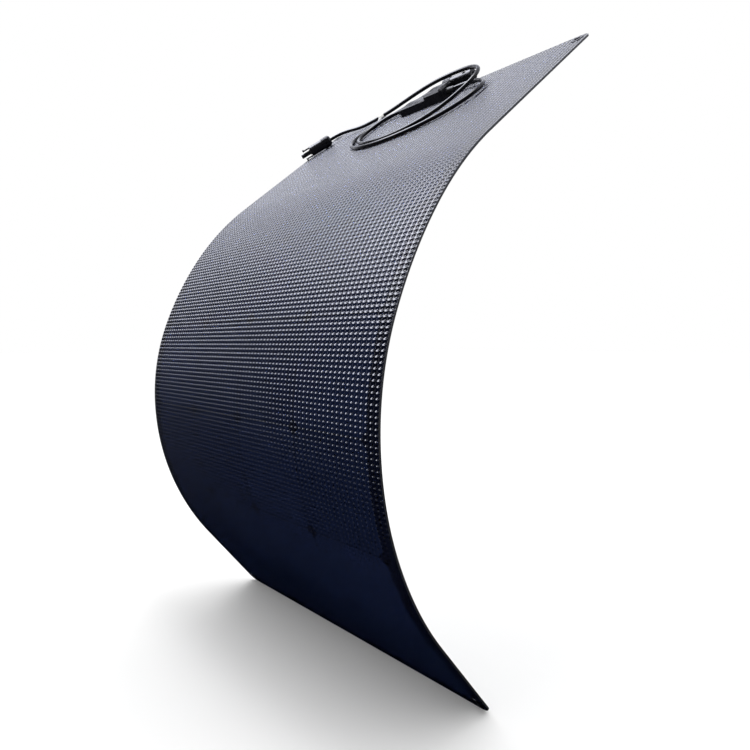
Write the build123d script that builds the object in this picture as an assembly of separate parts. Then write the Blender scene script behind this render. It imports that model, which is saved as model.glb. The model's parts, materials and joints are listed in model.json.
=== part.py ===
from build123d import *
import os
from math import cos, pi, radians, sin, tan

# Flexible solar sheet, bowed as it is when flexed by hand, with two coiled leads.
#
# Row frame: X runs across the sheet, Z is up, and the front, convex face looks to -Y. The origin is
# the middle of the top edge, at mid-thickness. From there the sheet runs down towards -Y and then
# curls back to +Y. It is cut at the gaps between cell rows, where it flexes, into a flat top panel
# that holds two rows of cells and six narrower strips, each with one row.
#
# A place on the top panel is given as (x, down, high): across, down from the top edge, and out
# from its front face.

# ---- the sheet
WIDTH = 540.0
LENGTH = 1050.0
CORNER_RADIUS = 12.0
FILM = 0.3
ENCAPSULANT = 1.0
BACK_SHEET = 1.2
THICKNESS = FILM + ENCAPSULANT + BACK_SHEET
FRONT = THICKNESS / 2
BACK = -THICKNESS / 2

# ---- the bow: the top panel's slope below horizontal, and how far each strip bends, from the top
TOP_SLOPE = 39.5
STRIP_BENDS = [16.0, 14.0, 22.0, 20.0, 18.0, 0.0]

# ---- cells
COLUMNS = 4
CELL = 125.0
CELL_GAP = 1.5
PITCH = CELL + CELL_GAP
CELL_CORNER = 9.0
CELL_THICKNESS = 0.2
CELL_DEPTH = 0.3
TOP_MARGIN = 26.0
FLEX_GAP = 0.8
STRIPS = len(STRIP_BENDS)
TOP_ROWS = 2
BOTTOM_MARGIN = LENGTH - TOP_MARGIN - (TOP_ROWS + STRIPS) * PITCH + CELL_GAP
TOP_PANEL = TOP_MARGIN + TOP_ROWS * PITCH - CELL_GAP / 2

# ---- metal behind the cells
TABS_PER_CELL = 3
TAB_WIDTH = 6.0
TAB_OVERLAP = 4.0
TAB_THICKNESS = 0.15
BUS_WIDTH = 5.0
BUS_THICKNESS = 0.3
BUS_FROM_EDGE = 4.0
BRIDGE_FROM_EDGE = 14.0

# ---- corner eyelets
EYELET_INSET = 14.0
EYELET_BORE = 4.5
EYELET_BARREL = 5.3
EYELET_FLANGE = 8.5
FLANGE_THICKNESS = 0.8
FLANGE_ROUND = 0.3
DRILL = 4 * THICKNESS

# ---- junction box on the front face, with a low half and a tall half
BOX_LEFT = -46.0
BOX_RIGHT = 50.0
BOX_STEP = 12.0
BOX_TOP = 21.0
BOX_BOTTOM = 57.0
PAD_THICKNESS = 1.0
PAD_INSET = 2.0
BASE_HEIGHT = 7.0
LOW_LID = 11.0
TALL_LID = 18.0
BOX_WALL = 1.5
BOX_CORNER = 5.0
LID_BEVEL = 3.0
LID_SLOT = (1.6, 9.0, 0.8)
LEAD_DOWN = 39.0
GLAND_LENGTH = 14.0
GLAND_ROOT = 4.6
LEFT_LEAD_HIGH = 6.2
RIGHT_LEAD_HIGH = 8.0
CLAMP = (10.0, 8.0, 5.0)
CLAMP_OFFSET = 20.0
DIODE_RADIUS = 2.6
DIODE_LENGTH = 9.0
DIODE_WIRE = 0.5

# ---- leads and connectors
LEAD_RADIUS = 3.0
RUN_SHARE = 0.45
GLAND_TIP = 3.6
NUT_RADIUS = 10.0
NUT_LENGTH = 18.0
NUT_TAPER = NUT_RADIUS / 3
NUT_BORE = 8.0
NUT_GROOVES = 12
NUT_GROOVE_RADIUS = 0.8
NUT_GROOVE_LENGTH = 0.8 * NUT_LENGTH
NUT_GROOVE_MIDDLE = 0.6 * NUT_LENGTH
STUB_RADIUS = 7.8
STUB_LENGTH = 8.5
BODY_RADIUS = 9.2
BODY_LENGTH = 26.0
BODY_CHAMFER = 1.0
TUBE_RADIUS = 3.8
TUBE_BORE = 2.5
TUBE_LENGTH = 20.0
PIN_LENGTH = 17.0
SEAL_WIDTH = 1.2
SEAL_LENGTH = 2.0
PRONG_LENGTH = 14.0
PRONG_WIDTH = 6.0
PRONG_THICKNESS = 2.2
PRONG_OFFSET = 7.6
HOOK = 1.4
HOOK_LENGTH = 3.0
SOCKET_BODY = 42.0
SOCKET_BORE = 4.2
SOCKET_DEPTH = 20.0
CONTACT_RADIUS = 1.6
WINDOW = (10.0, 7.0, 2.0)
WINDOW_FROM_FACE = 13.0
SLEEVE_RADIUS = 4.2
SLEEVE_BORE = 3.4
SLEEVE_LENGTH = 13.0
SLEEVE_TAIL = (9.0, 7.0, 0.9)

LEAD_A_END = (-236.0, 50.0, 10.4)
LEAD_A_AIM = (-0.6, 0.8, 0.0)
LEAD_B_END = (25.0, 10.2, 10.2)
LEAD_B_AIM = (1.0, 0.0, 0.0)

# Each lead's route over the top panel, chosen by hand, as (x, down, high).
LEAD_A = [
    (BOX_LEFT - GLAND_LENGTH, LEAD_DOWN, LEFT_LEAD_HIGH), (-82, LEAD_DOWN, LEFT_LEAD_HIGH),
    (-101, 55, 4.6), (-110, 84, 3.8), (-102, 114, 3.4), (-76, 138, 3.3), (-40, 153, 3.3), (2, 159, 3.3),
    (46, 154, 4.0), (87, 140, 7.0), (118, 116, 12.5), (133, 84, 18.5), (130, 54, 23.0),
    (104, 33, 25.5), (66, 22.5, 25.5), (24, 18.5, 24.5), (-16, 17, 20.5), (-56, 17.5, 15.0),
    (-96, 20, 9.5), (-136, 23.5, 6.0), (-173, 26, 4.8), (-203, 27.5, 8.0),
    (-225.2, 35.6, 10.4), LEAD_A_END,
]
LEAD_B = [
    (BOX_RIGHT + GLAND_LENGTH, LEAD_DOWN, RIGHT_LEAD_HIGH), (88, LEAD_DOWN, RIGHT_LEAD_HIGH),
    (114, 46, 7.0), (136, 64, 6.5), (146, 91, 6.0), (139, 119, 5.0), (117, 144, 4.0), (84, 162, 3.4),
    (44, 171, 3.3), (2, 173, 3.3), (-40, 167, 3.3), (-78, 153, 3.3), (-108, 129, 3.3),
    (-124, 98, 3.3), (-120, 66, 3.3), (-100, 40, 3.4), (-70, 22.5, 4.2), (-37, 13, 6.6),
    (-5, 10.2, 10.2), LEAD_B_END,
]
SLEEVE_RUN = 18

# How a turned solid stands on its own base, or hangs below it.
STANDING = (Align.CENTER, Align.CENTER, Align.MIN)
HANGING = (Align.CENTER, Align.CENTER, Align.MAX)


# ---- the bow's geometry

def heading(slope):
    """The way down the sheet where it slopes this much below horizontal."""
    return Vector(0, -cos(radians(slope)), -sin(radians(slope)))


def outward(slope):
    """The front face's normal at this slope."""
    return Vector(0, -sin(radians(slope)), cos(radians(slope)))


class Strip:
    """One piece of the sheet: straight, or bent to an arc whose centre is behind it."""

    def __init__(self, start, slope, length, bend):
        self.start, self.slope, self.length, self.bend = start, slope, length, bend

    def slope_at(self, down):
        return self.slope + self.bend * down / self.length

    def point(self, down, out=0.0, x=0.0):
        """The place this far down the strip, out from mid-thickness and across."""
        if self.bend == 0:
            place = self.start + heading(self.slope) * down + outward(self.slope) * out
        else:
            radius = self.length / radians(self.bend)
            centre = self.start - outward(self.slope) * radius
            place = centre + outward(self.slope_at(down)) * (radius + out)
        return place + Vector(x, 0, 0)

    def end(self):
        return self.point(self.length)

    def slab(self, down_0, down_1, out_0, out_1, x_0, x_1):
        """A solid between two depths in the sheet, following the strip's bend."""
        sides = []
        for out in (out_0, out_1):
            first, last = self.point(down_0, out, x_0), self.point(down_1, out, x_0)
            if self.bend == 0:
                sides.append(Line(first, last))
            else:
                middle = self.point((down_0 + down_1) / 2, out, x_0)
                sides.append(ThreePointArc(first, middle, last))
        ends = [Line(sides[0] @ t, sides[1] @ t) for t in (0, 1)]
        profile = make_face(Wire([sides[0], ends[1], sides[1], ends[0]]))
        return extrude(profile, amount=x_1 - x_0, dir=(1, 0, 0)).solids()[0]

    def stands_out(self, down, x, out=0.0):
        """A plane whose Z is the front normal here and whose Y points up the sheet."""
        normal = outward(self.slope_at(down))
        return Plane(origin=self.point(down, out, x), x_dir=(1, 0, 0), z_dir=normal)


def make_strips():
    strips = [Strip(Vector(0, 0, 0), TOP_SLOPE, TOP_PANEL, 0.0)]
    for number, bend in enumerate(STRIP_BENDS, start=1):
        above = strips[-1]
        length = PITCH
        if number == STRIPS:
            length = PITCH - CELL_GAP / 2 + BOTTOM_MARGIN
        strips.append(Strip(above.end(), above.slope_at(above.length), length, bend))
    return strips


STRIP_LIST = make_strips()
TOP = STRIP_LIST[0]
BOTTOM = STRIP_LIST[-1]


def on_panel(place):
    """A place on the top panel, (x, down, high), in the row frame."""
    x, down, high = place
    return TOP.point(down, FRONT + high, x)


def along_panel(direction):
    """A direction on the top panel, (x, down, high), in the row frame."""
    x, down, high = direction
    return Vector(x, 0, 0) + heading(TOP_SLOPE) * down + outward(TOP_SLOPE) * high


# ---- saving

def save(name, *solids):
    """Write one sub-part from its separate solids."""
    solids = [s for shape in solids for s in shape.solids()]
    shape = solids[0] if len(solids) == 1 else Compound(children=solids)
    export_step(shape, f"parts/{name}.step")


def cut_from(solid, tools):
    for tool in tools:
        solid = solid - tool
    return solid.solids()[0]


# ---- the laminate

def short_edges(solid, longest):
    return solid.edges().filter_by(lambda edge: edge.length < longest)


def end_edges(solid, plane, longest):
    """The edges through the thickness that lie near this plane's own X axis."""
    def near(edge):
        return abs(plane.to_local_coords(edge.center()).Y) < FLEX_GAP

    return ShapeList([edge for edge in short_edges(solid, longest) if near(edge)])


def strip_span(number):
    """Where the strip's laminate starts and ends, with half of the flex gap left at each joint."""
    strip = STRIP_LIST[number]
    first = 0.0 if number == 0 else FLEX_GAP / 2
    last = strip.length if number == STRIPS else strip.length - FLEX_GAP / 2
    return first, last


def layer(number, out_0, out_1):
    """One layer of one strip, with its outer corners rounded."""
    strip = STRIP_LIST[number]
    first, last = strip_span(number)
    solid = strip.slab(first, last, out_0, out_1, -WIDTH / 2, WIDTH / 2)
    for free_end, down in ((number == 0, first), (number == STRIPS, last)):
        if free_end:
            edges = end_edges(solid, strip.stands_out(down, 0), out_1 - out_0 + FLEX_GAP)
            solid = fillet(edges, CORNER_RADIUS)
    return solid.solids()[0]


def cell_rows(number):
    """How far down the strip each of its cell rows starts."""
    if number == 0:
        return [TOP_MARGIN + row * PITCH for row in range(TOP_ROWS)]
    return [CELL_GAP / 2]


def column_middles():
    return [(column - (COLUMNS - 1) / 2) * PITCH for column in range(COLUMNS)]


CELL_FRONT = FRONT - FILM - CELL_DEPTH
CELL_BACK = CELL_FRONT - CELL_THICKNESS


def cells(number):
    """The strip's cells, each with its four corners cut off."""
    strip = STRIP_LIST[number]
    made = []
    for start in cell_rows(number):
        for x in column_middles():
            square = strip.slab(start, start + CELL, CELL_BACK, CELL_FRONT, x - CELL / 2, x + CELL / 2)
            corners = short_edges(square, 2 * CELL_THICKNESS)
            made += chamfer(corners, CELL_CORNER).solids()
    return made


def cell_tabs(number):
    """The small metal tabs behind the cells' ends, cut where the sheet flexes."""
    strip = STRIP_LIST[number]
    first, last = strip_span(number)
    spans = []
    for start in cell_rows(number):
        end = start + CELL
        spans.append((start - CELL_GAP / 2, start + TAB_OVERLAP))
        spans.append((end - TAB_OVERLAP, end + CELL_GAP / 2))
    made = []
    for low, high in spans:
        low, high = max(low, first), min(high, last)
        for x in column_middles():
            for tab in range(TABS_PER_CELL):
                middle = x + (tab - (TABS_PER_CELL - 1) / 2) * CELL / TABS_PER_CELL
                sides = (middle - TAB_WIDTH / 2, middle + TAB_WIDTH / 2)
                made.append(strip.slab(low, high, CELL_BACK - TAB_THICKNESS, CELL_BACK, *sides))
    return made


def bus_bars():
    """Flat ribbons across the sheet: three at the top edge and two at the bottom edge."""
    columns = column_middles()
    level = (CELL_BACK - BUS_THICKNESS, CELL_BACK)
    top = [
        TOP.slab(BUS_FROM_EDGE, BUS_FROM_EDGE + BUS_WIDTH, *level, columns[0], -BUS_WIDTH),
        TOP.slab(BUS_FROM_EDGE, BUS_FROM_EDGE + BUS_WIDTH, *level, BUS_WIDTH, columns[3]),
        TOP.slab(BRIDGE_FROM_EDGE, BRIDGE_FROM_EDGE + BUS_WIDTH, *level, columns[1], columns[2]),
    ]
    end = BOTTOM.length - BUS_FROM_EDGE
    bottom = [
        BOTTOM.slab(end - BUS_WIDTH, end, *level, columns[0], columns[1]),
        BOTTOM.slab(end - BUS_WIDTH, end, *level, columns[2], columns[3]),
    ]
    return top, bottom


def eyelet_planes(number):
    """Where the strip's eyelets stand, at mid-thickness."""
    down = {0: EYELET_INSET, STRIPS: BOTTOM.length - EYELET_INSET}
    if number not in down:
        return []
    strip = STRIP_LIST[number]
    reach = WIDTH / 2 - EYELET_INSET
    return [strip.stands_out(down[number], x) for x in (-reach, reach)]


def eyelets(number):
    """Each eyelet has a barrel with a front flange, and a washer behind."""
    fronts, washers = [], []
    for plane in eyelet_planes(number):
        flange = Cylinder(EYELET_FLANGE, FLANGE_THICKNESS, align=STANDING)
        flange = fillet(flange.edges().group_by(Axis.Z)[-1], FLANGE_ROUND)
        barrel = Cylinder(EYELET_BARREL, THICKNESS, align=HANGING)
        bore = Cylinder(EYELET_BORE, DRILL)
        front = Pos(0, 0, FRONT) * (flange + barrel) - bore
        washer = Cylinder(EYELET_FLANGE, FLANGE_THICKNESS, align=HANGING)
        washer = Pos(0, 0, BACK) * washer - bore
        fronts.append(plane.location * front)
        washers.append(plane.location * washer)
    return fronts, washers


def make_laminate():
    top_bars, bottom_bars = bus_bars()
    for number in range(STRIPS + 1):
        label = "top" if number == 0 else f"strip_{number}"
        holes = [plane.location * Cylinder(EYELET_BARREL, DRILL) for plane in eyelet_planes(number)]
        cell_solids = cells(number)
        tab_solids = cell_tabs(number)
        bars = {0: top_bars, STRIPS: bottom_bars}.get(number, [])
        film = layer(number, FRONT - FILM, FRONT)
        filling = layer(number, BACK + BACK_SHEET, FRONT - FILM)
        back = layer(number, BACK, BACK + BACK_SHEET)
        save(f"front_film_{label}", cut_from(film, holes))
        save(f"encapsulant_{label}", cut_from(filling, holes + cell_solids + tab_solids + bars))
        save(f"back_sheet_{label}", cut_from(back, holes))
        save(f"cells_{label}", *cell_solids)
        save(f"cell_tabs_{label}", *tab_solids)
    save("bus_ribbons_top", *top_bars)
    save("bus_ribbons_bottom", *bottom_bars)
    for number, label in ((0, "top"), (STRIPS, "bottom")):
        fronts, washers = eyelets(number)
        save(f"eyelets_{label}", *fronts)
        save(f"eyelet_washers_{label}", *washers)


# ---- the junction box, drawn with X across, Y up the sheet and Z out of the front face

PANEL = TOP.stands_out(0, 0, FRONT)


def block(x_0, x_1, down_0, down_1, high_0, high_1):
    """A box on the panel, in the panel's own axes."""
    solid = Box(x_1 - x_0, down_1 - down_0, high_1 - high_0)
    return Pos((x_0 + x_1) / 2, -(down_0 + down_1) / 2, (high_0 + high_1) / 2) * solid


def rounded_block(x_0, x_1, down_0, down_1, high_0, high_1, radius):
    solid = block(x_0, x_1, down_0, down_1, high_0, high_1)
    return fillet(solid.edges().filter_by(Axis.Z), radius)


def box_shell(grow, floor, low, tall):
    """The box's stepped form between these heights, made larger or smaller all round."""
    sides = (BOX_TOP - grow, BOX_BOTTOM + grow)
    corner = BOX_CORNER + grow
    body = rounded_block(BOX_LEFT - grow, BOX_RIGHT + grow, *sides, floor, low, corner)
    if tall > low:
        chamber = rounded_block(BOX_STEP - grow, BOX_RIGHT + grow, *sides, floor, tall, corner)
        top = chamber.edges().group_by(Axis.Z)[-1]
        body = body + chamfer(top, LID_BEVEL + grow / 2)
    return body


def gland(x, side, high):
    """A tapered strain relief at one end of the box, pointing to that side."""
    cone = Cone(GLAND_ROOT, GLAND_TIP, GLAND_LENGTH, align=STANDING)
    return Plane(origin=(x, -LEAD_DOWN, high), z_dir=(side, 0, 0)).location * cone


def make_junction_box():
    sides = (BOX_LEFT + PAD_INSET, BOX_RIGHT - PAD_INSET)
    pad = block(*sides, BOX_TOP + PAD_INSET, BOX_BOTTOM - PAD_INSET, 0, PAD_THICKNESS)
    floor = PAD_THICKNESS + BOX_WALL
    base = box_shell(0, PAD_THICKNESS, BASE_HEIGHT, BASE_HEIGHT)
    base = base - box_shell(-BOX_WALL, floor, BASE_HEIGHT + BOX_WALL, 0)
    lid = box_shell(0, BASE_HEIGHT, LOW_LID, TALL_LID)
    lid = lid - box_shell(-BOX_WALL, 0, LOW_LID - BOX_WALL, TALL_LID - BOX_WALL)
    slot_width, slot_length, slot_depth = LID_SLOT
    for number in range(2):
        x = BOX_STEP + LID_BEVEL + slot_width * (1 + 2 * number)
        middle = (BOX_TOP + BOX_BOTTOM) / 2
        slot = block(x, x + slot_width, middle - slot_length / 2, middle + slot_length / 2,
                     TALL_LID - slot_depth, TALL_LID + slot_depth)
        lid = lid - slot
    left_gland = gland(BOX_LEFT, -1, LEFT_LEAD_HIGH)
    right_gland = gland(BOX_RIGHT, 1, RIGHT_LEAD_HIGH)
    terminals, diode = box_contents(floor)
    place = PANEL.location
    save("box_glue_pad", place * pad)
    save("box_base", place * base)
    save("box_lid", place * lid)
    save("lead_gland_left", place * left_gland)
    save("lead_gland_right", place * right_gland)
    save("box_terminals", *[place * terminal for terminal in terminals])
    save("bypass_diode", place * diode)


def box_contents(floor):
    """Two clamp terminals on the floor of the box and the diode between them."""
    length, width, height = CLAMP
    middle = (BOX_LEFT + BOX_RIGHT) / 2
    terminals = []
    for x in (middle - CLAMP_OFFSET, middle + CLAMP_OFFSET):
        across = (x - length / 2, x + length / 2)
        terminals.append(block(*across, LEAD_DOWN - width / 2, LEAD_DOWN + width / 2, floor, floor + height))
    body = Cylinder(DIODE_RADIUS, DIODE_LENGTH)
    wire = Cylinder(DIODE_WIRE, 2 * CLAMP_OFFSET - length)
    high = floor + DIODE_RADIUS + DIODE_WIRE
    diode = Plane(origin=(middle, -LEAD_DOWN, high), z_dir=(1, 0, 0)).location * (body + wire)
    return terminals, diode


# ---- leads

def lead_path(places):
    """Straight runs with an arc at each point, as large as the two runs beside it allow."""
    points = [on_panel(place) for place in places]
    radii = []
    for before, here, after in zip(points, points[1:], points[2:]):
        turn = (here - before).get_angle(after - here)
        shorter = min((here - before).length, (after - here).length)
        radii.append(RUN_SHARE * shorter / tan(radians(turn / 2)))
    return points, radii, FilletPolyline(*points, radius=radii)


def make_lead(name, places):
    points, radii, path = lead_path(places)
    start = points[1] - points[0]
    tube = sweep(Plane(origin=points[0], z_dir=start) * Circle(LEAD_RADIUS), path=path)
    save(name, tube)
    runs = [(b - a).length for a, b in zip(points, points[1:])]
    share = tube.volume / (pi * LEAD_RADIUS ** 2 * path.length)
    print(name, "length", round(path.length, 1), "radii", [round(r) for r in radii])
    print(name, "runs", [round(run) for run in runs], "volume share", round(share, 4))


# ---- connectors, drawn with the lead's end at the origin and the plug pointing to +Z

def grooved_nut():
    nut = Cylinder(NUT_RADIUS, NUT_LENGTH, align=STANDING)
    nut = chamfer(nut.edges().group_by(Axis.Z)[0], NUT_TAPER)
    for number in range(NUT_GROOVES):
        place = Rot(0, 0, 360 * number / NUT_GROOVES) * Pos(NUT_RADIUS, 0, NUT_GROOVE_MIDDLE)
        nut = nut - place * Cylinder(NUT_GROOVE_RADIUS, NUT_GROOVE_LENGTH)
    return nut - Pos(0, 0, NUT_LENGTH) * Cylinder(NUT_BORE, NUT_LENGTH)


def collar(body_length):
    """The housing behind the plug face, with the stub that the nut screws onto."""
    body = Cylinder(BODY_RADIUS, body_length, align=STANDING)
    body = chamfer(body.edges().group_by(Axis.Z)[-1], BODY_CHAMFER)
    stub = Cylinder(STUB_RADIUS, STUB_LENGTH, align=HANGING)
    return Pos(0, 0, NUT_LENGTH) * (body + stub)


def prong(side):
    """One latch prong with a hook at its tip."""
    arm = Box(PRONG_WIDTH, PRONG_THICKNESS, PRONG_LENGTH, align=STANDING)
    hook = Box(PRONG_WIDTH, PRONG_THICKNESS + HOOK, HOOK_LENGTH, align=STANDING)
    hook = Pos(0, HOOK / 2, PRONG_LENGTH - HOOK_LENGTH) * hook
    turned = Rot(0, 0, 0 if side > 0 else 180) * Pos(0, PRONG_OFFSET, 0) * (arm + hook)
    return Pos(0, 0, NUT_LENGTH + BODY_LENGTH) * turned


def plug_place(end, aim):
    """Where a connector stands, with its Y along the panel's outward normal."""
    direction = along_panel(aim)
    across = outward(TOP_SLOPE).cross(direction)
    return Plane(origin=on_panel(end), x_dir=across, z_dir=direction).location


def make_pin_connector():
    place = plug_place(LEAD_A_END, LEAD_A_AIM)
    front = NUT_LENGTH + BODY_LENGTH
    tube = Cylinder(TUBE_RADIUS, TUBE_LENGTH, align=STANDING)
    tube_bore = Cylinder(TUBE_BORE, TUBE_LENGTH, align=STANDING)
    housing = collar(BODY_LENGTH) + Pos(0, 0, front) * tube + prong(1) + prong(-1)
    housing = housing - Pos(0, 0, front) * tube_bore
    pin = Cylinder(CONTACT_RADIUS / 2, PIN_LENGTH, align=STANDING)
    ring = Cylinder(TUBE_RADIUS + SEAL_WIDTH, SEAL_LENGTH, align=STANDING)
    ring = ring - Cylinder(TUBE_RADIUS, 4 * SEAL_LENGTH)
    save("pin_connector_housing", place * housing)
    save("pin_contact", place * Pos(0, 0, front) * pin)
    save("pin_connector_seal", place * Pos(0, 0, front) * ring)
    save("pin_connector_nut", place * grooved_nut())


def make_socket_connector():
    place = plug_place(LEAD_B_END, LEAD_B_AIM)
    front = NUT_LENGTH + SOCKET_BODY
    bore = Cylinder(SOCKET_BORE, SOCKET_DEPTH, align=HANGING)
    housing = collar(SOCKET_BODY) - Pos(0, 0, front) * bore
    width, length, depth = WINDOW
    for side in (-1, 1):
        window = Box(width, 2 * depth, length)
        housing = housing - Pos(0, side * BODY_RADIUS, front - WINDOW_FROM_FACE) * window
    contact = Cylinder(CONTACT_RADIUS, SOCKET_DEPTH / 2, align=STANDING)
    contact = contact - Cylinder(CONTACT_RADIUS / 2, 4 * SOCKET_DEPTH)
    save("socket_connector_housing", place * housing)
    save("socket_contact", place * Pos(0, 0, front - SOCKET_DEPTH) * contact)
    save("socket_connector_nut", place * grooved_nut())


def make_sleeve():
    """A blank white sleeve on the first lead, with a small tail that points down the sheet."""
    start, end = (on_panel(place) for place in LEAD_A[SLEEVE_RUN:SLEEVE_RUN + 2])
    middle = (start + end) / 2
    sleeve = Cylinder(SLEEVE_RADIUS, SLEEVE_LENGTH) - Cylinder(SLEEVE_BORE, 2 * SLEEVE_LENGTH)
    length, reach, thickness = SLEEVE_TAIL
    tail = Pos(SLEEVE_RADIUS + reach / 2 - thickness / 2, 0, 0) * Box(reach, thickness, length)
    direction = end - start
    across = outward(TOP_SLOPE).cross(direction)
    place = Plane(origin=middle, x_dir=across, z_dir=direction).location
    save("lead_sleeve", place * (sleeve + tail))


os.makedirs("parts", exist_ok=True)
make_laminate()
make_junction_box()
make_lead("lead_a", LEAD_A)
make_lead("lead_b", LEAD_B)
make_pin_connector()
make_socket_connector()
make_sleeve()
for number, strip in enumerate(STRIP_LIST):
    print("strip", number, "start", [round(v, 2) for v in strip.start], "slope", round(strip.slope, 2))
print("bottom edge", [round(v, 2) for v in BOTTOM.end()])
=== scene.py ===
import json
from math import atan2, cos, pi, radians, sin

import bmesh
import bpy
import numpy as np
from mathutils import Matrix, Vector


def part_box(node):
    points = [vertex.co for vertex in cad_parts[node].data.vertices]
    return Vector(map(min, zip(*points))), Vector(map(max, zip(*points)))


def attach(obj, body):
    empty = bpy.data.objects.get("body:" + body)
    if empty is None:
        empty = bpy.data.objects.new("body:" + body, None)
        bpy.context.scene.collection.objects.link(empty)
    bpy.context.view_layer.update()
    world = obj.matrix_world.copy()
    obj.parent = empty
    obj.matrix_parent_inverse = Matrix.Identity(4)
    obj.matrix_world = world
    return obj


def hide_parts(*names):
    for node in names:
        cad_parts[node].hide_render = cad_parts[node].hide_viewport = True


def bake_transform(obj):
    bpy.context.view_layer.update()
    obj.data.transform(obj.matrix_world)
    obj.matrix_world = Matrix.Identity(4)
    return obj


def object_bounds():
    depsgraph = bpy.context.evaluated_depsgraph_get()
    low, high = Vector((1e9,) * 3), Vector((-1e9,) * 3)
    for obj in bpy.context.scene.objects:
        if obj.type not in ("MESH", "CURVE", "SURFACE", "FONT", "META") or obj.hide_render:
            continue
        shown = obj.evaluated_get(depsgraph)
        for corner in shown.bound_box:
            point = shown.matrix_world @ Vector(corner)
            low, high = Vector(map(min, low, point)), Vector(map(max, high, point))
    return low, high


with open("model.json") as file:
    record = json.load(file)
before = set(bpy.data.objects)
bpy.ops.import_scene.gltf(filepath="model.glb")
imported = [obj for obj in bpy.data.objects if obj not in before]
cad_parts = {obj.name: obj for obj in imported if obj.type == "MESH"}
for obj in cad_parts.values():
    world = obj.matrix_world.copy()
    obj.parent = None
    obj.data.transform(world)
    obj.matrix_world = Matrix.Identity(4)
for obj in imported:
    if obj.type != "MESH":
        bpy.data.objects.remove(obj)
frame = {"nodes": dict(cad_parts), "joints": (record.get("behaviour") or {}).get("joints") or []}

# A flexible solar sheet, bowed as it is when it is flexed by hand, with two loosely coiled leads.
# Metres throughout, in the CAD model's own frame: X across the sheet, Z up, front face to -Y, and the
# origin in the middle of the top edge at mid-thickness. "Down" is the distance down the sheet from its
# top edge, along its curve, and "out" is how far a point stands in front of mid-thickness.

CAD_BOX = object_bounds()
SCENE = bpy.context.scene


# ---- camera

CAMERA_PLACE = Vector((0.6813, -0.7531, -0.4131))
CAMERA_AIM = Vector((-0.7442, 0.6660, -0.0520))
CAMERA_LENS_MM = 28.47
CAMERA_SENSOR_MM = 36.0


def add_camera():
    data = bpy.data.cameras.new("camera")
    data.lens = CAMERA_LENS_MM
    data.sensor_width = CAMERA_SENSOR_MM
    camera = bpy.data.objects.new("camera", data)
    camera.location = CAMERA_PLACE
    camera.rotation_euler = CAMERA_AIM.to_track_quat("-Z", "Y").to_euler()
    SCENE.collection.objects.link(camera)
    SCENE.camera = camera


add_camera()


# ---- the bow, worked out from the hinges

SHEET_LENGTH = 1.050
SHEET_CORNER = 0.012
LOW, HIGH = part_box("back_sheet_top")
SHEET_WIDTH = HIGH.x - LOW.x
HINGES = [Vector(joint["pos_m"]) for joint in frame["joints"]]
STRAIGHT = 1e-4          # radians: a smaller half-bend is only rounding


def slope_of(way):
    """How far this direction points below horizontal, as seen along the sheet's rulings."""
    return atan2(-way.z, -way.y)


def find_strips():
    """The strips between the hinges, from the top edge: first point, slope, length and bend."""
    found = []
    start = Vector((0, 0, 0))
    slope = slope_of(HINGES[0])
    for hinge in HINGES:
        chord = hinge - start
        half_bend = slope_of(chord) - slope
        if abs(half_bend) < STRAIGHT:
            half_bend = 0.0
        length = chord.length * (half_bend / sin(half_bend) if half_bend else 1.0)
        found.append((start, slope, length, 2 * half_bend))
        start = hinge
        slope += 2 * half_bend
    found.append((start, slope, SHEET_LENGTH - sum(strip[2] for strip in found), 0.0))
    return found


STRIPS = find_strips()
STARTS = np.cumsum([0.0] + [strip[2] for strip in STRIPS[:-1]])


def on_sheet(across, down, out):
    """Points on the sheet, one row for each entry of the three arrays."""
    across, down, out = np.broadcast_arrays(*(np.asarray(a, float) for a in (across, down, out)))
    points = np.empty(down.shape + (3,))
    points[..., 0] = across
    number = np.clip(np.searchsorted(STARTS, down, side="right") - 1, 0, len(STRIPS) - 1)
    for index, (start, slope, length, bend) in enumerate(STRIPS):
        here = number == index
        along = down[here] - STARTS[index]
        if bend:
            radius = length / bend
            angle = slope + along / radius
            reach = radius + out[here]
            points[here, 1] = start.y + sin(slope) * radius - np.sin(angle) * reach
            points[here, 2] = start.z - cos(slope) * radius + np.cos(angle) * reach
        else:
            points[here, 1] = start.y - cos(slope) * along - sin(slope) * out[here]
            points[here, 2] = start.z - sin(slope) * along + cos(slope) * out[here]
    return points


def sheet_point(across, down, out=0.0):
    return Vector(on_sheet(across, down, out).tolist())


# ---- the two leads: each route's points over the top panel, as (across, down, high), where high is
# above the front face

FRONT = 0.00125
LEAD_RADIUS = 0.003
LEAD_A = [
    (-0.0600, 0.0390, 0.0062), (-0.0820, 0.0390, 0.0062), (-0.1010, 0.0550, 0.0046),
    (-0.1100, 0.0840, 0.0038), (-0.1020, 0.1140, 0.0034), (-0.0760, 0.1380, 0.0033),
    (-0.0400, 0.1530, 0.0033), (0.0020, 0.1590, 0.0033), (0.0460, 0.1540, 0.0040),
    (0.0870, 0.1400, 0.0070), (0.1180, 0.1160, 0.0125), (0.1330, 0.0840, 0.0185),
    (0.1300, 0.0540, 0.0230), (0.1040, 0.0330, 0.0255), (0.0660, 0.0225, 0.0255),
    (0.0240, 0.0185, 0.0245), (-0.0160, 0.0170, 0.0205), (-0.0560, 0.0175, 0.0150),
    (-0.0960, 0.0200, 0.0095), (-0.1360, 0.0235, 0.0060), (-0.1730, 0.0260, 0.0048),
    (-0.2030, 0.0275, 0.0080), (-0.2252, 0.0356, 0.0104), (-0.2360, 0.0500, 0.0104),
]
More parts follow.
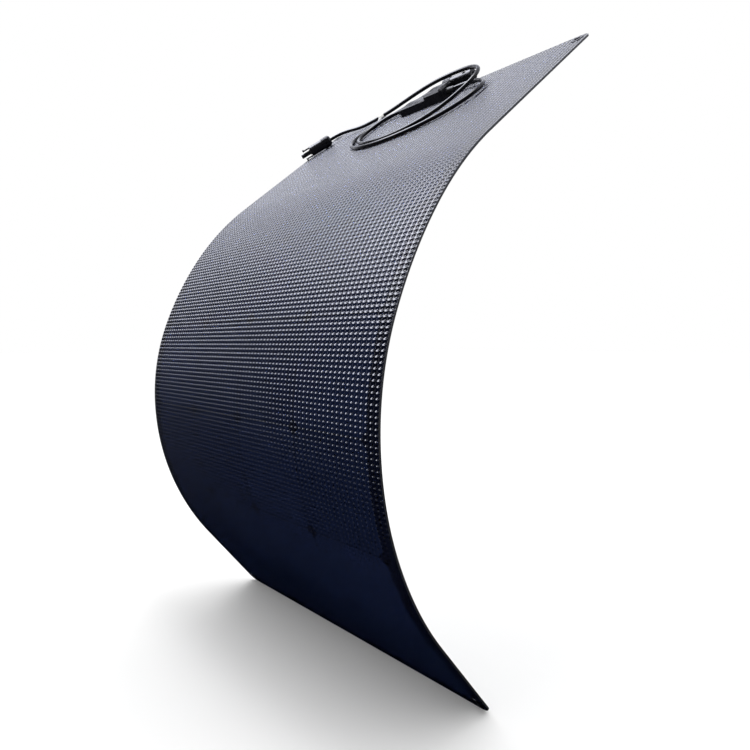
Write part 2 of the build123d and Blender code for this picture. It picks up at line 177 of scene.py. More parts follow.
LEAD_B = [
    (0.0640, 0.0390, 0.0080), (0.0880, 0.0390, 0.0080), (0.1140, 0.0460, 0.0070),
    (0.1360, 0.0640, 0.0065), (0.1460, 0.0910, 0.0060), (0.1390, 0.1190, 0.0050),
    (0.1170, 0.1440, 0.0040), (0.0840, 0.1620, 0.0034), (0.0440, 0.1710, 0.0033),
    (0.0020, 0.1730, 0.0033), (-0.0400, 0.1670, 0.0033), (-0.0780, 0.1530, 0.0033),
    (-0.1080, 0.1290, 0.0033), (-0.1240, 0.0980, 0.0033), (-0.1200, 0.0660, 0.0033),
    (-0.1000, 0.0400, 0.0034), (-0.0700, 0.0225, 0.0042), (-0.0370, 0.0130, 0.0066),
    (-0.0050, 0.0102, 0.0102), (0.0250, 0.0102, 0.0102),
]
SLEEVE_RUN = 18


def on_panel(place):
    across, down, high = place
    return sheet_point(across, down, FRONT + high)


def make_lead(name, places):
    """A round lead along a smooth spline with the route's points as its control points.

    Its points hold its radius, so that the curve's own box is no larger than the lead."""
    curve = bpy.data.curves.new(name, "CURVE")
    curve.dimensions = "3D"
    spline = curve.splines.new("NURBS")
    spline.points.add(len(places) - 1)
    for point, place in zip(spline.points, places):
        point.co = (*on_panel(place), 1.0)
        point.radius = LEAD_RADIUS
    spline.order_u = 3
    spline.use_endpoint_u = True
    spline.resolution_u = 10
    curve.bevel_depth = 1.0
    curve.bevel_resolution = 5
    curve.use_fill_caps = True
    lead = bpy.data.objects.new(name + "_cable", curve)
    SCENE.collection.objects.link(lead)
    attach(lead, "top_panel")
    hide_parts(name)
    return lead


def mesh_piece(name, vertices, faces, smooth=True):
    mesh = bpy.data.meshes.new(name)
    mesh.from_pydata([tuple(v) for v in vertices], [], faces)
    mesh.polygons.foreach_set("use_smooth", [smooth] * len(mesh.polygons))
    mesh.update()
    piece = bpy.data.objects.new(name, mesh)
    SCENE.collection.objects.link(piece)
    return piece


SLEEVE_BORE = 0.0031
SLEEVE_RADIUS = 0.0040
SLEEVE_LENGTH = 0.013
SLEEVE_SIDES = 32
SLEEVE_ROLL = 0.0003
CREASE_DEPTH = 0.00018
CREASES_ROUND = 3
CREASE_TWIST = 9
TAIL_REACH = 0.0095
TAIL_WIDTH = 0.009
TAIL_THICKNESS = 0.0005
TAIL_SAG = 0.0022
TAIL_NARROWING = 0.25
TAIL_STEPS = 8


def make_sleeve():
    """A white film sleeve round the first lead, lightly creased, with rolled ends."""
    start, end = (on_panel(place) for place in LEAD_A[SLEEVE_RUN:SLEEVE_RUN + 2])
    axis = (end - start).normalized()
    up = sheet_point(0, 0, 1.0)
    side = axis.cross(up).normalized()
    up = side.cross(axis)
    middle = (start + end) / 2
    rolled, creased = SLEEVE_RADIUS - SLEEVE_ROLL, SLEEVE_RADIUS - CREASE_DEPTH
    # each point's share of the length, from the middle, and its radius
    outline = [
        (-0.5, SLEEVE_BORE), (-0.5, rolled), (-0.47, SLEEVE_RADIUS), (-0.2, creased), (0.1, SLEEVE_RADIUS),
        (0.3, creased), (0.47, SLEEVE_RADIUS), (0.5, rolled), (0.5, SLEEVE_BORE),
    ]
    vertices, faces = [], []
    for turn in range(SLEEVE_SIDES):
        angle = 2 * pi * turn / SLEEVE_SIDES
        ray = side * cos(angle) + up * sin(angle)
        for share, radius in outline:
            wave = sin(CREASES_ROUND * angle + CREASE_TWIST * share) if radius > SLEEVE_BORE else 0.0
            reach = radius + CREASE_DEPTH * wave
            vertices.append(middle + axis * share * SLEEVE_LENGTH + ray * reach)
    count = len(outline)
    for turn in range(SLEEVE_SIDES):
        here, following = turn * count, (turn + 1) % SLEEVE_SIDES * count
        for step in range(count):
            after = (step + 1) % count
            faces.append((here + step, following + step, following + after, here + after))
    sleeve = mesh_piece("lead_sleeve_white", vertices, faces)
    tail = make_tail(middle, axis, side, up)
    for piece in (sleeve, tail):
        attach(piece, "top_panel")
    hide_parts("lead_sleeve")
    return sleeve, tail


def make_tail(middle, axis, side, up):
    """The sleeve's loose end: a clear flap that droops away down the sheet."""
    down_sheet = -side if (sheet_point(0, 1.0) - sheet_point(0, 0)).dot(side) < 0 else side
    vertices, faces = [], []
    for step in range(TAIL_STEPS + 1):
        share = step / TAIL_STEPS
        reach = SLEEVE_RADIUS - TAIL_THICKNESS + TAIL_REACH * share
        sag = -TAIL_SAG * share * share
        half_width_here = TAIL_WIDTH / 2 * (1 - TAIL_NARROWING * share)
        for edge in (-1, 1):
            for level in (-1, 1):
                spot = down_sheet * reach + up * (sag + level * TAIL_THICKNESS / 2)
                vertices.append(middle + spot + axis * edge * half_width_here)
    for step in range(TAIL_STEPS):
        a, b = 4 * step, 4 * step + 4
        for first, second in ((0, 1), (1, 3), (3, 2), (2, 0)):
            faces.append((a + first, a + second, b + second, b + first))
    last = 4 * TAIL_STEPS
    faces += [(0, 2, 3, 1), (last, last + 1, last + 3, last + 2)]
    return mesh_piece("lead_sleeve_tail", vertices, faces, smooth=False)


lead_a = make_lead("lead_a", LEAD_A)
lead_b = make_lead("lead_b", LEAD_B)
sleeve, sleeve_tail = make_sleeve()
nodes = frame["nodes"]
on_panel(LEAD_A[0])
on_panel(LEAD_B[0])


# ---- the laminate: each layer is a chain of pieces that follow the bow over the hinges. A piece runs from the
# middle of one strip to the middle of the next.

SHARP_ANGLE = radians(40)
DIMPLES_ACROSS = 72
DIMPLES_DOWN = 180
STEPS_PER_DIMPLE = 4
DIMPLE_DEPTH = 0.00060
DIMPLE_RISE = 0.00010
DIMPLE_SKEW = -0.11
DIMPLE_PITCH = SHEET_LENGTH / DIMPLES_DOWN
BEND_REACH = 0.059
CELL = 0.125
CELL_GAP = 0.0015
PITCH = CELL + CELL_GAP
CELL_CORNER = 0.009
COLUMNS = 4
ROWS = 8
TOP_MARGIN = 0.026
BACK = -FRONT
BACK_SHEET_FRONT = -0.00005
FILM_BACK = 0.00050
CELL_LEVELS = (0.00056, 0.00072)
METAL_LEVELS = (0.00052, 0.00056)
ROW_STEP = 0.006
ROW_DECIMALS = 7
CORNER_TURNS = range(15, 91, 15)          # degrees
HOLE_SIDES = 48
HOLE_DEPTH = 8 * FRONT
EYELET_INSET = 0.014
EYELET_BARREL = 0.0053
PIECES = len(HINGES)
BODIES = ["top_panel"] + [f"strip_{number}" for number in range(1, PIECES + 1)]
LABELS = ["top"] + BODIES[1:]


def find_seams():
    """Where the pieces meet: at the middles of the strips, on the nearest line between dimples."""
    middles = [STARTS[number] + STRIPS[number][2] / 2 for number in range(1, PIECES)]
    return [0.0] + [round(middle / DIMPLE_PITCH) * DIMPLE_PITCH for middle in middles] + [SHEET_LENGTH]


SEAMS = find_seams()


def half_width(down):
    """Half of the sheet's width this far down, less at its rounded corners."""
    from_end = np.minimum(down, SHEET_LENGTH - down)
    inside = np.clip(SHEET_CORNER - from_end, 0, SHEET_CORNER)
    return SHEET_WIDTH / 2 - SHEET_CORNER + np.sqrt(SHEET_CORNER ** 2 - inside ** 2)


def corner_rows(first, last):
    """Extra rows close to a rounded end, so that the corner is round."""
    turns = [SHEET_CORNER * (1 - cos(radians(turn))) for turn in CORNER_TURNS]
    rows = turns + [SHEET_LENGTH - turn for turn in turns]
    return [row for row in rows if first < row < last]


class Slabs:
    """Closed slabs that follow the sheet, gathered into one mesh with its flat coordinates as UVs."""

    def __init__(self):
        self.points, self.flat, self.faces, self.edge_faces = [], [], [], []

    def add(self, downs, lefts, rights, low, high, columns=2, relief=None):
        """One slab. Its front has this many columns, and relief(across, down) is added to its level."""
        downs, lefts, rights = (np.asarray(a, float) for a in (downs, lefts, rights))
        rows = len(downs)
        share = np.linspace(0, 1, columns)
        across = lefts[:, None] + (rights - lefts)[:, None] * share
        down = np.repeat(downs[:, None], columns, axis=1)
        out = np.full(across.shape, high)
        if relief:
            out = out + relief(across, down)
        first = sum(len(points) for points in self.points)
        front = first + np.arange(rows * columns).reshape(rows, columns)
        back = first + rows * columns + np.arange(rows * 2).reshape(rows, 2)
        edges = np.stack([lefts, rights], axis=1)
        edge_downs = np.repeat(downs[:, None], 2, axis=1)
        self.points += [on_sheet(across, down, out).reshape(-1, 3),
                        on_sheet(edges, edge_downs, low).reshape(-1, 3)]
        self.flat += [np.stack([across, down], axis=-1).reshape(-1, 2),
                      np.stack([edges, edge_downs], axis=-1).reshape(-1, 2)]
        self.faces += quads(front)
        self.faces += quads(back[:, ::-1])
        walls = quads(np.stack([back[:, 0], front[:, 0]], axis=1))
        walls += quads(np.stack([front[:, -1], back[:, 1]], axis=1))
        walls.append([*front[0][::-1], *back[0]])
        walls.append([*front[-1], *back[-1][::-1]])
        self.edge_faces += range(len(self.faces), len(self.faces) + len(walls))
        self.faces += walls

    def piece(self, name, materials):
        """The mesh as an object. Walls round the slabs take the last material, and stay sharp."""
        points, flat = np.concatenate(self.points), np.concatenate(self.flat)
        mesh = bpy.data.meshes.new(name)
        mesh.from_pydata(points.tolist(), [], [list(map(int, face)) for face in self.faces])
        for material in materials:
            mesh.materials.append(material)
        wall = np.zeros(len(self.faces), bool)
        wall[list(self.edge_faces)] = True
        mesh.polygons.foreach_set("material_index", np.where(wall, len(materials) - 1, 0))
        mesh.polygons.foreach_set("use_smooth", ~wall)
        corners = np.zeros(len(mesh.loops), int)
        mesh.loops.foreach_get("vertex_index", corners)
        mesh.uv_layers.new(name="flat").data.foreach_set("uv", flat[corners].ravel())
        mesh.update()
        mesh.set_sharp_from_angle(angle=SHARP_ANGLE)
        piece = bpy.data.objects.new(name, mesh)
        SCENE.collection.objects.link(piece)
        return piece


def quads(grid):
    """Faces between the neighbours of a grid of vertex numbers, turned to face forwards."""
    sides = (grid[:-1, :-1], grid[1:, :-1], grid[1:, 1:], grid[:-1, 1:])
    return np.stack(sides, axis=-1).reshape(-1, 4).tolist()


def even_rows(first, last, step, extra=()):
    count = max(2, int(round((last - first) / step)) + 1)
    return sorted(set(np.round([*np.linspace(first, last, count), *extra], ROW_DECIMALS)))


def dimples(across, down):
    """How far the film's front stands from its level: one shallow pit, skewed a little, in each square."""
    turn_across = 2 * pi * DIMPLES_ACROSS * (across / SHEET_WIDTH + 0.5)
    turn_down = 2 * pi * down / DIMPLE_PITCH
    pit = (1 - np.cos(turn_across)) * (1 - np.cos(turn_down)) / 4
    return DIMPLE_RISE - DIMPLE_DEPTH * (pit + DIMPLE_SKEW * np.sin(turn_across) * np.sin(turn_down))


def eyelet_downs(first, last):
    return [down for down in (EYELET_INSET, SHEET_LENGTH - EYELET_INSET) if first < down < last]


def cut_eyelet_holes(piece, first, last):
    """Holes for the eyelets' barrels, through whichever corners this piece has."""
    for down in eyelet_downs(first, last):
        cutter_mesh = bmesh.new()
        for across in (-1, 1):
            place = sheet_point(across * (SHEET_WIDTH / 2 - EYELET_INSET), down)
            normal = sheet_point(0, down, 1.0) - sheet_point(0, down)
            turn = normal.to_track_quat("Z", "X").to_matrix().to_4x4()
            bmesh.ops.create_cone(
                cutter_mesh, cap_ends=True, segments=HOLE_SIDES, radius1=EYELET_BARREL, radius2=EYELET_BARREL,
                depth=HOLE_DEPTH, matrix=Matrix.Translation(place) @ turn)
        mesh = bpy.data.meshes.new("cutter")
        cutter_mesh.to_mesh(mesh)
        cutter_mesh.free()
        cutter = bpy.data.objects.new("cutter", mesh)
        SCENE.collection.objects.link(cutter)
        modifier = piece.modifiers.new("holes", "BOOLEAN")
        modifier.operation = "DIFFERENCE"
        modifier.solver = "EXACT"
        modifier.object = cutter
        graph = bpy.context.evaluated_depsgraph_get()
        cut = bpy.data.meshes.new_from_object(
            piece.evaluated_get(graph), preserve_all_data_layers=True, depsgraph=graph)
        piece.modifiers.clear()
        cut.set_sharp_from_angle(angle=SHARP_ANGLE)
        piece.data = cut
        bpy.data.objects.remove(cutter)


def film_rows(first, last):
    """Rows of the dimpled film between two seams, four to a dimple."""
    low, high = (round(seam / DIMPLE_PITCH) * STEPS_PER_DIMPLE for seam in (first, last))
    return np.arange(low, high + 1) * DIMPLE_PITCH / STEPS_PER_DIMPLE


def add_cells(slabs, first, last):
    """The parts of the cells that lie between two seams, with their corners cut off."""
    for row in range(ROWS):
        start = TOP_MARGIN + row * PITCH
        low, high = max(start, first), min(start + CELL, last)
        if low >= high:
            continue
        bends = [d for d in (start + CELL_CORNER, start + CELL - CELL_CORNER) if low < d < high]
        downs = np.array(even_rows(low, high, ROW_STEP, bends))
        from_end = np.minimum(downs - start, start + CELL - downs)
        half = CELL / 2 - np.clip(CELL_CORNER - from_end, 0, CELL_CORNER)
        for column in range(COLUMNS):
            middle = (column - (COLUMNS - 1) / 2) * PITCH
            slabs.add(downs, middle - half, middle + half, *CELL_LEVELS)


TABS_PER_CELL = 3
TAB_WIDTH = 0.006
TAB_OVERLAP = 0.004
BUS_FROM_EDGE = 0.004
BUS_WIDTH = 0.005


def add_metal(slabs, first, last):
    """Tabs that join each cell to the next one down, and the ribbons across both ends."""
    for row in range(ROWS + 1):
        gap = TOP_MARGIN + row * PITCH - CELL_GAP / 2
        low, high = max(gap - TAB_OVERLAP, first), min(gap + TAB_OVERLAP, last)
        if low >= high or high - low < TAB_OVERLAP:
            continue
        for tab in range(COLUMNS * TABS_PER_CELL):
            column, place = divmod(tab, TABS_PER_CELL)
            cell_middle = (column - (COLUMNS - 1) / 2) * PITCH
            middle = cell_middle + (place - (TABS_PER_CELL - 1) / 2) * CELL / TABS_PER_CELL
            downs = even_rows(low, high, TAB_OVERLAP)
            sides = [middle - TAB_WIDTH / 2] * len(downs), [middle + TAB_WIDTH / 2] * len(downs)
            slabs.add(downs, *sides, *METAL_LEVELS)
    outer, inner = (COLUMNS - 1) / 2 * PITCH, PITCH / 2
    ribbons = (
        (BUS_FROM_EDGE, ((-outer, -BUS_WIDTH), (BUS_WIDTH, outer))),
        (SHEET_LENGTH - BUS_FROM_EDGE - BUS_WIDTH, ((-outer, -inner), (inner, outer))),
    )
    for down, spans in ribbons:
        for left, right in spans:
            if first <= down < last:
                slabs.add([down, down + BUS_WIDTH], [left] * 2, [right] * 2, *METAL_LEVELS)


def bend_with_hinge(piece, number):
    """Bake the placement of the piece over hinge number into its mesh."""
    hinge = STARTS[number]
    sheet_point(0, hinge - BEND_REACH)
    sheet_point(0, hinge + BEND_REACH)
    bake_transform(piece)


def stand_for(number, layer):
    """Hide the CAD nodes a piece stands for: the strip's below its hinge, and for the first the top's."""
    labels = LABELS[:2] if number == 1 else [LABELS[number]]
    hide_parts(*[f"{layer}_{label}" for label in labels])


# ---- materials

class Nodes:
    """Short calls for the nodes of one tree."""

    MIX_SOCKETS = {"FLOAT": (2, 3, 0), "RGBA": (6, 7, 2)}        # both inputs and the output

    def __init__(self, tree):
        self.tree = tree

    def node(self, kind, **settings):
        made = self.tree.nodes.new("ShaderNode" + kind)
        for name, value in settings.items():
            setattr(made, name, value)
        return made

    def feed(self, target, value):
        """Link another socket to this one, or set it. Colours are given without alpha."""
        if isinstance(value, bpy.types.NodeSocket):
            self.tree.links.new(value, target)
        elif target.type == "RGBA":
            target.default_value = (*value, 1.0)
        else:
            target.default_value = value

    def math(self, operation, first, second=0.0, third=0.0):
        made = self.node("Math", operation=operation)
        for socket, value in zip(made.inputs, (first, second, third)):
            self.feed(socket, value)
        return made.outputs[0]

    def mix(self, share, first, second, data_type="RGBA"):
        """The first colour or value where share is 0, and the second where it is 1."""
        made = self.node("Mix", data_type=data_type)
        low, high, result = self.MIX_SOCKETS[data_type]
        for number, value in ((0, share), (low, first), (high, second)):
            self.feed(made.inputs[number], value)
        return made.outputs[result]

    def spread(self, value, low, high, first=0.0, last=1.0, **settings):
        """A value that goes from low to high as this one goes from first to last."""
        made = self.node("MapRange", **settings)
        self.feed(made.inputs["Value"], value)
        for name, number in (("From Min", first), ("From Max", last), ("To Min", low), ("To Max", high)):
            made.inputs[name].default_value = number
        return made.outputs["Result"]

    def split(self, where):
        """The three coordinates of a place or direction."""
        parts = self.node("SeparateXYZ")
        self.feed(parts.inputs[0], where)
        return parts.outputs


class Shader(Nodes):
    """The nodes of a new material."""

    def __init__(self, name, color, roughness, **sockets):
        self.material = bpy.data.materials.new(name)
        self.material.use_nodes = True
        super().__init__(self.material.node_tree)
        self.bsdf = self.tree.nodes["Principled BSDF"]
        self.set("Base Color", color)
        self.set("Roughness", roughness)
        for socket, value in sockets.items():
            self.set(socket.replace("_", " "), value)

    def set(self, socket, value):
        self.feed(self.bsdf.inputs[socket], value)

    def place(self):
        """Coordinates in metres that stay with the piece."""
        return self.node("TexCoord").outputs["Object"]

    def flat(self):
        """Coordinates across and down the flattened sheet, in metres."""
        return self.node("UVMap", uv_map="flat").outputs["UV"]

    def noise(self, where, scale, detail=2.0):
        made = self.node("TexNoise")
        for name, value in (("Vector", where), ("Scale", scale), ("Detail", detail)):
            self.feed(made.inputs[name], value)
        return made.outputs["Fac"]

    def uneven_gloss(self, where, scale, low, high, detail=2.0):
        """Roughness that drifts between low and high over the surface."""
        self.set("Roughness", self.spread(self.noise(where, scale, detail), low, high))

    def bump(self, height, distance):
        made = self.node("Bump")
        self.feed(made.inputs["Distance"], distance)
        self.feed(made.inputs["Height"], height)
        self.set("Normal", made.outputs["Normal"])


def cell_mask(shader, across, down):
    """1 on a cell and 0 in the gaps, at the cut corners and on the border."""
    half_array = COLUMNS * PITCH / 2
    between_sides = shader.math("LESS_THAN", shader.math("ABSOLUTE", across), half_array)
    under_top = shader.math("GREATER_THAN", down, TOP_MARGIN)
    over_bottom = shader.math("LESS_THAN", down, TOP_MARGIN + ROWS * PITCH - CELL_GAP)
    in_array = shader.math("MULTIPLY", shader.math("MULTIPLY", between_sides, under_top), over_bottom)
    offsets = []
    for value, first in ((across, -half_array), (down, TOP_MARGIN - CELL_GAP / 2)):
        inside = shader.math("MODULO", shader.math("SUBTRACT", value, first), PITCH)
        offsets.append(shader.math("ABSOLUTE", shader.math("SUBTRACT", inside, PITCH / 2)))
    square = shader.math("LESS_THAN", shader.math("MAXIMUM", *offsets), CELL / 2)
    corner = shader.math("LESS_THAN", shader.math("ADD", *offsets), CELL - CELL_CORNER)
    return shader.math("MULTIPLY", in_array, shader.math("MULTIPLY", square, corner))


def dimple_height(shader, across, down):
    """The same pits as in the mesh, from 1 on the ridges to 0 in a pit's middle."""
    waves, slants = [], []
    grid = ((across, SHEET_WIDTH / 2, SHEET_WIDTH / DIMPLES_ACROSS), (down, 0.0, DIMPLE_PITCH))
    for value, first, pitch in grid:
        turn = shader.math("MULTIPLY", shader.math("ADD", value, first), 2 * pi / pitch)
        waves.append(shader.math("SUBTRACT", 1.0, shader.math("COSINE", turn)))
        slants.append(shader.math("SINE", turn))
    pit = shader.math("MULTIPLY", shader.math("MULTIPLY", *waves), 0.25)
    slant = shader.math("MULTIPLY", shader.math("MULTIPLY", *slants), DIMPLE_SKEW)
    return shader.math("SUBTRACT", 1.0, shader.math("ADD", pit, slant))


CELL_COLOR = (0.0040, 0.0068, 0.0210)
PALEST_CELL = 1.35
CELL_CLOUDS = 0.35
GAP_COLOR = (0.0020, 0.0028, 0.0080)
DIMPLE_SHARPENING = 0.0014


def film_material():
    """Clear dimpled film, with the cells seen through it. Its bump sharpens the pits' flanks."""
    shader = Shader("clear_film_over_cells", CELL_COLOR, roughness=0.12, IOR=1.45)
    flat = shader.flat()
    across, down, _ = shader.split(flat)
    number = shader.node("CombineXYZ")
    for socket, value, first in zip(number.inputs, (across, down), (-COLUMNS * PITCH / 2, TOP_MARGIN)):
        index = shader.math("FLOOR", shader.math("DIVIDE", shader.math("SUBTRACT", value, first), PITCH))
        shader.feed(socket, index)
    tint = shader.node("TexWhiteNoise", noise_dimensions="2D")
    shader.feed(tint.inputs["Vector"], number.outputs[0])
    cell = shader.mix(tint.outputs["Value"], CELL_COLOR, [c * PALEST_CELL for c in CELL_COLOR])
    clouds = shader.spread(shader.noise(flat, scale=28.0), low=0.0, high=CELL_CLOUDS)
    cell = shader.mix(clouds, cell, GAP_COLOR)
    shader.set("Base Color", shader.mix(cell_mask(shader, across, down), GAP_COLOR, cell))
    shader.uneven_gloss(flat, scale=400.0, low=0.07, high=0.16, detail=3.0)
    shader.bump(dimple_height(shader, across, down), DIMPLE_SHARPENING)
    return shader.material


BACK_COLOR = (0.70, 0.71, 0.72)
BACK_CLOUDS = ((0.66, 0.67, 0.68), (0.73, 0.74, 0.75))
SHOWN_CELL = (0.50, 0.53, 0.60)
SHOWN_SHARE = 0.16
SHOWN_RISE = 2.0
WEAVE_DEPTH = 0.00004


def back_material():
    """Matt white polyester, where the cells show faintly as raised squares."""
    shader = Shader("white_back_sheet", BACK_COLOR, roughness=0.55)
    flat = shader.flat()
    across, down, _ = shader.split(flat)
    mask = cell_mask(shader, across, down)
    white = shader.mix(shader.noise(flat, scale=14.0, detail=4.0), *BACK_CLOUDS)
    shown = shader.spread(mask, low=0.0, high=SHOWN_SHARE)
    shader.set("Base Color", shader.mix(shown, white, SHOWN_CELL))
    shader.uneven_gloss(flat, scale=220.0, low=0.45, high=0.65)
    weave = shader.noise(flat, scale=1800.0)
    shader.bump(shader.math("ADD", shader.math("MULTIPLY", mask, SHOWN_RISE), weave), WEAVE_DEPTH)
    return shader.material


def layer_material(name, color, scale, low, high, **sockets):
    """A plain layer of the laminate, with slightly uneven gloss."""
    shader = Shader(name, color, (low + high) / 2, **sockets)
    shader.uneven_gloss(shader.flat(), scale, low, high)
    return shader.material


def tinned_material():
    shader = Shader("tinned_copper", (0.62, 0.60, 0.56), roughness=0.35, Metallic=1.0)
    shader.uneven_gloss(shader.place(), scale=700.0, low=0.25, high=0.45)
    return shader.material


SHADE_SPREAD = (0.8, 1.25)
GLOSS_SPREAD = 0.07


def grained(name, color, roughness, grain, depth, **sockets):
    """A moulded surface with a fine grain and slightly uneven gloss."""
    shader = Shader(name, color, roughness, **sockets)
    place = shader.place()
    darker, paler = ([c * change for c in color] for change in SHADE_SPREAD)
    shader.set("Base Color", shader.mix(shader.noise(place, scale=60.0, detail=3.0), darker, paler))
    shader.uneven_gloss(place, 240.0, roughness - GLOSS_SPREAD, roughness + GLOSS_SPREAD)
    shader.bump(shader.noise(place, grain), depth)
    return shader.material


BLACK = (0.006, 0.006, 0.008)
DULL = {"Specular_IOR_Level": 0.30}
METAL = {"Metallic": 1.0}

FILM = film_material()
EDGE = layer_material("laminate_edge", BLACK, scale=600.0, low=0.4, high=0.6)
ADHESIVE = layer_material("clear_adhesive", (0.02, 0.022, 0.028), scale=300.0, low=0.2, high=0.4)
BACKING = back_material()
SILICON = layer_material("silicon_cell", (0.008, 0.012, 0.035), scale=500.0, low=0.18, high=0.32,
                         Metallic=0.2)
TINNED = tinned_material()
JACKET = grained("lead_jacket", (0.004, 0.004, 0.005), 0.15, 1600.0, 0.00001, **DULL)
BOX_PLASTIC = grained("box_plastic", BLACK, 0.28, 1400.0, 0.00004, **DULL)
GRIP_PLASTIC = grained("connector_plastic", BLACK, 0.28, 1900.0, 0.00003, **DULL)
RUBBER = grained("black_rubber", (0.015, 0.015, 0.016), 0.55, 900.0, 0.00006)
FOAM = grained("foam_tape", (0.03, 0.03, 0.03), 0.8, 500.0, 0.0002)
DARK_METAL = grained("blackened_steel", (0.045, 0.045, 0.05), 0.34, 700.0, 0.00003, **METAL)
WASHER_METAL = grained("washer_steel", (0.30, 0.30, 0.31), 0.32, 700.0, 0.00003, **METAL)
CLAMP_METAL = grained("clamp_brass", (0.62, 0.48, 0.22), 0.3, 700.0, 0.00003, **METAL)
EPOXY = grained("diode_body", (0.02, 0.02, 0.02), 0.3, 900.0, 0.00002)
WHITE_FILM = grained("white_sleeve", (0.84, 0.84, 0.82), 0.42, 800.0, 0.00004)
CLEAR_FILM = grained("clear_flap", (0.80, 0.80, 0.80), 0.2, 500.0, 0.00004, Alpha=0.45)


def make_laminate():
    """Every layer's pieces, one of each for each hinge."""
    for number in range(1, PIECES + 1):
        first, last = SEAMS[number - 1], SEAMS[number]
        rows = film_rows(first, last)
        film = Slabs()
        film.add(rows, -half_width(rows), half_width(rows), FILM_BACK, FRONT,
                 columns=DIMPLES_ACROSS * STEPS_PER_DIMPLE + 1, relief=dimples)
        rows = np.array(even_rows(first, last, ROW_STEP, corner_rows(first, last)))
        adhesive, back = Slabs(), Slabs()
        adhesive.add(rows, -half_width(rows), half_width(rows), BACK_SHEET_FRONT, FILM_BACK)
        back.add(rows, -half_width(rows), half_width(rows), BACK, BACK_SHEET_FRONT)
        cells, metal = Slabs(), Slabs()
        add_cells(cells, first, last)
        add_metal(metal, first, last)
        layers = (
            (film, "front_film", [FILM, EDGE], "film", "front_film", True),
            (adhesive, "adhesive", [ADHESIVE, EDGE], "encapsulant", "encapsulant", True),
            (back, "back_sheet", [BACKING, EDGE], "back", "back_sheet", True),
            (cells, "cells", [SILICON], "cell", "cells", False),
            (metal, "cell_metal", [TINNED], "ribbon", "cell_tabs", False),
        )
        for slabs, kind, materials, slot, cad_layer, with_holes in layers:
            piece = slabs.piece(f"{kind}_{number}", materials)
            if with_holes:
                cut_eyelet_holes(piece, first, last)
            bend_with_hinge(piece, number)
            stand_for(number, cad_layer)
            if kind == "cell_metal" and number in (1, PIECES):
                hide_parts("bus_ribbons_top" if number == 1 else "bus_ribbons_bottom")


make_laminate()


# ---- finishes on the CAD pieces

FINISHES = {
    "eyelets_top": DARK_METAL, "eyelets_bottom": DARK_METAL,
    "eyelet_washers_top": WASHER_METAL, "eyelet_washers_bottom": WASHER_METAL,
    "box_glue_pad": FOAM, "box_base": BOX_PLASTIC, "box_lid": BOX_PLASTIC,
    "box_terminals": CLAMP_METAL, "bypass_diode": EPOXY,
    "lead_gland_left": RUBBER, "lead_gland_right": RUBBER,
    "pin_connector_nut": GRIP_PLASTIC, "pin_connector_housing": GRIP_PLASTIC,
    "socket_connector_nut": GRIP_PLASTIC, "socket_connector_housing": GRIP_PLASTIC,
    "pin_connector_seal": RUBBER, "pin_contact": TINNED, "socket_contact": TINNED,
}


def paint(piece, material):
    piece.data.materials.clear()
    piece.data.materials.append(material)


for name, material in FINISHES.items():
    paint(nodes[name], material)
for piece, material in ((lead_a, JACKET), (lead_b, JACKET), (sleeve, WHITE_FILM), (sleeve_tail, CLEAR_FILM)):
    paint(piece, material)


# ---- stage and light

FLOOR_SIZE = 60.0
FLOOR_COLOR = (0.9, 0.9, 0.9)


def add_floor():
    """A plain pale floor at the sheet's lowest point, which gloss doesn't see."""
    low = CAD_BOX[0].z
    half = FLOOR_SIZE / 2
    corners = [(-half, -half, low), (half, -half, low), (half, half, low), (-half, half, low)]
    floor = mesh_piece("floor", corners, [(0, 1, 2, 3)])
    shader = Shader("pale_floor", FLOOR_COLOR, roughness=0.9, Specular_IOR_Level=0.0)
    floor.data.materials.append(shader.material)
    floor.visible_glossy = False


SKY_AXIS = Vector((-0.25, 0.95, 0.15)).normalized()
SKY_STOPS = (
    (-1.0, 0.02), (-0.40, 0.03), (-0.25, 0.06), (-0.06, 0.16), (0.12, 0.40), (0.22, 0.75), (0.30, 1.4),
    (0.38, 1.5), (0.45, 0.4), (0.52, 0.9), (0.58, 0.7), (0.70, 1.3), (0.85, 0.9), (1.0, 0.5),
)
SKY_FLOOR = (-0.35, 0.05)
SKY_TINT = (0.95, 0.97, 1.08)
OVERHEAD_AXIS = Vector((-0.42, -0.36, 0.83)).normalized()
OVERHEAD_EDGE = (0.86, 0.96)
OVERHEAD_STRENGTH = 13.5
DOME_STRENGTH = 1.12
WHITE = (1.0, 1.0, 1.0)


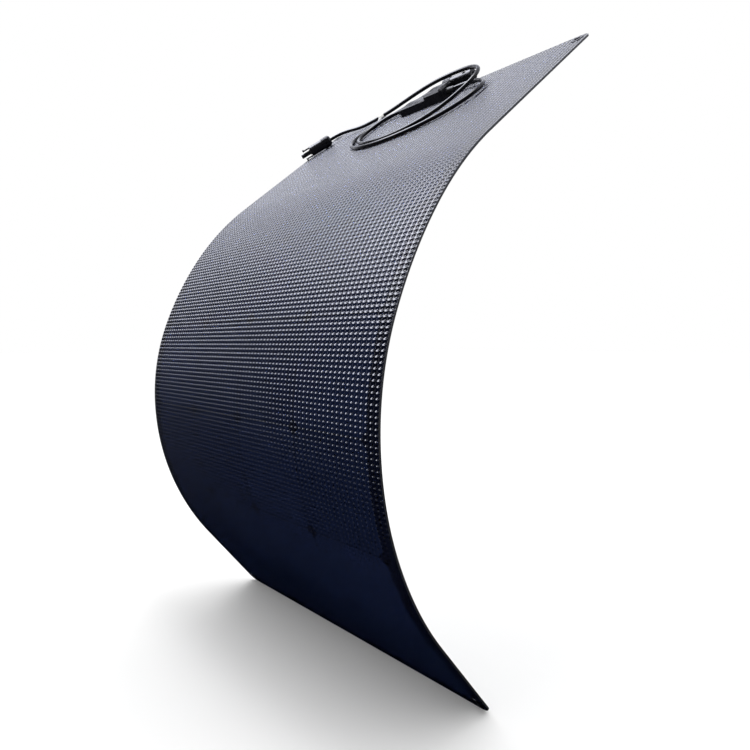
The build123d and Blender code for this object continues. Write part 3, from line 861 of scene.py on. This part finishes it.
def add_sky():
    """Plain white behind the sheet, and an even white dome for soft light.

    Gloss sees a studio instead. It has a backdrop in dark and bright bands, whose stops give the strength
    by the cosine from the sky's axis and which fades out towards the floor, and one bright light overhead."""
    world = bpy.data.worlds.new("studio")
    world.use_nodes = True
    world.cycles.sampling_method = "NONE"
    SCENE.world = world
    sky = Nodes(world.node_tree)
    direction = sky.node("TexCoord").outputs["Generated"]

    def cosine_from(axis):
        made = sky.node("VectorMath", operation="DOT_PRODUCT")
        sky.feed(made.inputs[0], direction)
        sky.feed(made.inputs[1], axis)
        return made.outputs["Value"]

    brightest = max(strength for _, strength in SKY_STOPS)
    bands = sky.node("FloatCurve")
    curve = bands.mapping.curves[0]
    for index, (cosine, strength) in enumerate(SKY_STOPS):
        place = ((cosine + 1) / 2, strength / brightest)
        if index < len(curve.points):
            curve.points[index].location = place
        else:
            curve.points.new(*place)
    bands.mapping.update()
    sky.feed(bands.inputs["Value"], sky.spread(cosine_from(SKY_AXIS), 0.0, 1.0, first=-1.0))
    above = sky.spread(sky.split(direction)[2], 0.0, brightest, *SKY_FLOOR)
    overhead = sky.spread(cosine_from(OVERHEAD_AXIS), 0.0, OVERHEAD_STRENGTH, *OVERHEAD_EDGE,
                          interpolation_type="SMOOTHSTEP")
    gloss = sky.math("MULTIPLY_ADD", bands.outputs[0], above, overhead)
    ray = sky.node("LightPath").outputs
    light = sky.mix(ray["Is Glossy Ray"], DOME_STRENGTH, gloss, data_type="FLOAT")
    background = sky.tree.nodes["Background"]
    sky.feed(background.inputs["Strength"], sky.mix(ray["Is Camera Ray"], light, 1.0, data_type="FLOAT"))
    sky.feed(background.inputs["Color"], sky.mix(ray["Is Glossy Ray"], WHITE, SKY_TINT))


def add_softbox(name, place, aim, size, power, in_gloss=False):
    """A soft square light of this size in metres and power in watts, seen in gloss only if asked for."""
    data = bpy.data.lights.new(name, "AREA")
    data.shape = "SQUARE"
    data.size = size
    data.energy = power
    light = bpy.data.objects.new(name, data)
    light.location = place
    light.rotation_euler = (Vector(aim) - Vector(place)).to_track_quat("-Z", "Y").to_euler()
    light.visible_glossy = in_gloss
    SCENE.collection.objects.link(light)


add_floor()
add_sky()
add_softbox("key_softbox", place=(-1.6, -0.4, 1.6), aim=(0, -0.15, -0.2), size=1.2, power=14.0)
add_softbox("top_softbox", place=(0.1, -0.3, 1.4), aim=(0, -0.2, 0), size=0.5, power=8.0, in_gloss=True)
SCENE.view_settings.view_transform = "Standard"
